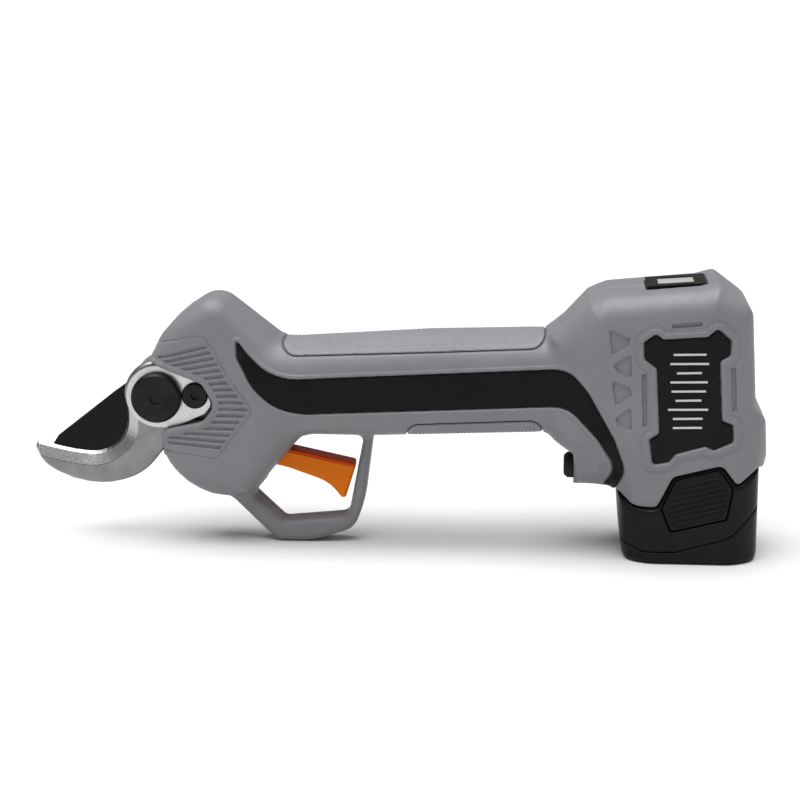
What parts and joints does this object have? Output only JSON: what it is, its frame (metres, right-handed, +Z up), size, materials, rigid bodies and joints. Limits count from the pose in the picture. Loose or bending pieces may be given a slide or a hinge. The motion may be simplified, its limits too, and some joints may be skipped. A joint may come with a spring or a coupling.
{
  "type": "battery electric pruner",
  "caption": "Hand-held battery pruner with a hooked fixed blade, a geared moving blade, a guarded finger trigger and a slide-off battery.",
  "frame": {"origin": "centre of the bounding box in X and Y, at the level it rests on", "axes": "+Z up, -X towards the blade tip, +X towards the battery, -Y is the tool's left side"},
  "size_m": [0.2918, 0.051, 0.1103],
  "materials": {
    "housing": "satin moulded",
    "grip": "fine textured",
    "inlay": "matt",
    "label": "semi gloss",
    "display": "pale display",
    "button": "matt",
    "trigger": "satin orange",
    "battery": "satin black",
    "cell": "shrink sleeve",
    "board": "solder mask",
    "blade_steel": "cast with a ground edge",
    "blade_coated": "black non-stick coating",
    "plate": "brushed",
    "steel": "machined",
    "dark_steel": "black oxide",
    "bronze": "sintered",
    "brass": "plated"
  },
  "bodies": {
    "housing": {"housing_left": "housing", "housing_right": "housing", "grip_pad_top": "grip", "grip_pad_lower": "grip", "stripe_left": "inlay", "stripe_right": "inlay", "label_plate_left": "label", "label_plate_right": "label", "housing_screws": "dark_steel", "display_bezel": "label", "display_lens": "display", "display_board": "board", "fixed_blade": "blade_steel", "head_plate_left": "plate", "head_plate_right": "plate", "bearing_block": "plate", "pinion_bearings": "steel", "blade_clamp_screws": "dark_steel", "head_plate_screws": "dark_steel", "pivot_bolt": "dark_steel", "pivot_cap": "dark_steel", "pivot_nut": "dark_steel", "pivot_washer": "steel", "lock_screw": "dark_steel", "ring_gear": "steel", "gearbox_case": "steel", "motor_can": "steel", "motor_stator": "steel", "motor_end_bell": "plate", "trigger_pin": "steel", "trigger_spring": "steel", "sensor_board": "board", "power_switch": "board", "control_board": "board", "board_capacitors": "battery", "heat_sink": "plate", "tool_contact_block": "battery", "tool_contacts": "brass", "signal_cable": "button", "motor_wires": "button"},
    "blade": {"moving_blade": "blade_coated", "blade_dowels": "steel", "pivot_bush": "bronze", "gear_sector": "steel"},
    "pinion": {"bevel_pinion": "steel", "planet_carrier": "steel", "planet_gears": "steel"},
    "rotor": {"motor_rotor": "steel", "motor_shaft": "steel"},
    "trigger": {"trigger": "trigger", "trigger_magnet": "steel"},
    "button": {"power_button": "button"},
    "battery": {"battery_case": "battery", "battery_base": "battery", "battery_cells": "cell", "cell_trays": "battery", "battery_board": "board", "battery_contacts": "brass"},
    "latch_left": {"battery_latch_left": "battery"},
    "latch_right": {"battery_latch_right": "battery"}
  },
  "joints": [
    {"name": "blade_open", "type": "hinge", "parent": "housing", "child": "blade", "pos_m": [-0.0949, 0, 0.061], "axis": [0, 1, 0], "range_deg": [0, 52]},
    {"name": "pinion_spin", "type": "hinge", "parent": "housing", "child": "pinion", "pos_m": [-0.07991, 0, 0.06165], "axis": [0.999, 0, 0.0436], "range_deg": [-160, 0]},
    {"name": "rotor_spin", "type": "hinge", "parent": "housing", "child": "rotor", "pos_m": [-0.00499, 0, 0.06493], "axis": [0.999, 0, 0.0436], "range_deg": [-900, 0]},
    {"name": "trigger_pull", "type": "hinge", "parent": "housing", "child": "trigger", "pos_m": [-0.0546, 0, 0.04], "axis": [0, -1, 0], "range_deg": [0, 11], "stiffness_Nm_per_rad": 0.6, "springref_deg": -5.73},
    {"name": "power_press", "type": "slide", "parent": "housing", "child": "button", "axis": [1, 0, 0], "range_m": [0, 0.001], "stiffness_N_per_m": 400, "springref_m": -0.001},
    {"name": "battery_slide", "type": "slide", "parent": "housing", "child": "battery", "axis": [0, 0, -1], "range_m": [0, 0.056]},
    {"name": "latch_left_press", "type": "hinge", "parent": "battery", "child": "latch_left", "pos_m": [0.119, -0.0236, 0.0155], "axis": [-1, 0, 0], "range_deg": [0, 3], "stiffness_Nm_per_rad": 0.3, "springref_deg": -2.86},
    {"name": "latch_right_press", "type": "hinge", "parent": "battery", "child": "latch_right", "pos_m": [0.119, 0.0236, 0.0155], "axis": [1, 0, 0], "range_deg": [0, 3], "stiffness_Nm_per_rad": 0.3, "springref_deg": -2.86}
  ],
  "couplings": [
    {"joint": "pinion_spin", "follows": "blade_open", "ratio": -3},
    {"joint": "rotor_spin", "follows": "blade_open", "ratio": -16.5}
  ]
}
